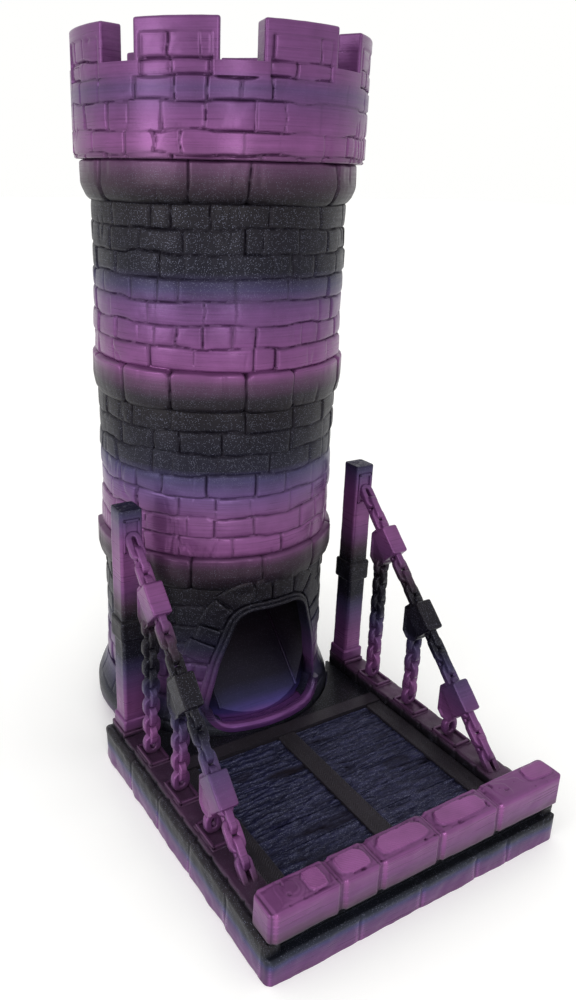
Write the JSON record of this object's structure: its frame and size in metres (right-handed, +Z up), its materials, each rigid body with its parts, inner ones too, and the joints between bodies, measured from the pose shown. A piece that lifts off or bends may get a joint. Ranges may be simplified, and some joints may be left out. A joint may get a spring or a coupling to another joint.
{
  "type": "dice tower",
  "caption": "Round castle dice tower with battlements, doorway and inner baffles, standing in the socket of a drawbridge tray with posts, chains and a stone parapet.",
  "frame": {"origin": "tower axis at the table surface", "axes": "+Z up along the tower axis, front of the doorway and tray towards -Y, +X to the right seen from the front"},
  "size_m": [0.1036, 0.1645, 0.2244],
  "materials": {
    "storey_banded": "silk sheen with fine glitter and visible print layers",
    "ring_banded": "silk sheen with fine glitter and visible print layers",
    "crown_banded": "silk sheen with fine glitter and visible print layers",
    "door_banded": "silk sheen with fine glitter and visible print layers",
    "shaft_dark": "silk sheen with fine glitter and visible print layers",
    "base_banded": "silk sheen with fine glitter and visible print layers",
    "curb_brown": "silk sheen with fine glitter and visible print layers",
    "parapet_magenta": "silk sheen with fine glitter and visible print layers",
    "deck_black": "silk sheen with fine glitter and visible print layers",
    "rail_banded": "silk sheen with fine glitter and visible print layers"
  },
  "bodies": {
    "tray": {"base_slab": "base_banded", "front_course": "base_banded", "left_side_stones": "base_banded", "right_side_stones": "base_banded", "left_curb": "curb_brown", "right_curb": "curb_brown", "parapet_bed": "base_banded", "parapet_stone_1": "parapet_magenta", "parapet_stone_2": "parapet_magenta", "parapet_stone_3": "parapet_magenta", "parapet_stone_4": "parapet_magenta", "parapet_stone_5": "parapet_magenta", "deck_planks": "deck_black", "left_strap": "deck_black", "centre_strap": "deck_black", "right_strap": "deck_black", "front_strap": "deck_black", "threshold_bar": "curb_brown", "left_post": "rail_banded", "left_post_collar": "rail_banded", "left_anchor_plate": "rail_banded", "left_stay_chain": "rail_banded", "left_block_1": "rail_banded", "left_block_2": "rail_banded", "left_block_3": "rail_banded", "left_drop_chain_1": "rail_banded", "left_drop_chain_2": "rail_banded", "left_drop_chain_3": "rail_banded", "right_post": "rail_banded", "right_post_collar": "rail_banded", "right_anchor_plate": "rail_banded", "right_stay_chain": "rail_banded", "right_block_1": "rail_banded", "right_block_2": "rail_banded", "right_block_3": "rail_banded", "right_drop_chain_1": "rail_banded", "right_drop_chain_2": "rail_banded", "right_drop_chain_3": "rail_banded"},
    "tower": {"plinth": "storey_banded", "ground_storey": "storey_banded", "lower_ring": "ring_banded", "middle_storey": "storey_banded", "middle_ring": "ring_banded", "upper_storey": "storey_banded", "upper_ring": "ring_banded", "crown_wall": "crown_banded", "merlons": "crown_banded", "door_trim": "door_banded", "voussoirs": "door_banded", "door_sill": "door_banded", "exit_ramp": "shaft_dark", "lower_baffle": "shaft_dark", "upper_baffle": "shaft_dark", "dice_funnel": "shaft_dark"}
  },
  "joints": [
    {"name": "tower_lift", "type": "slide", "parent": "tray", "child": "tower", "axis": [0, 0, 1], "range_m": [0, 0.04]}
  ]
}
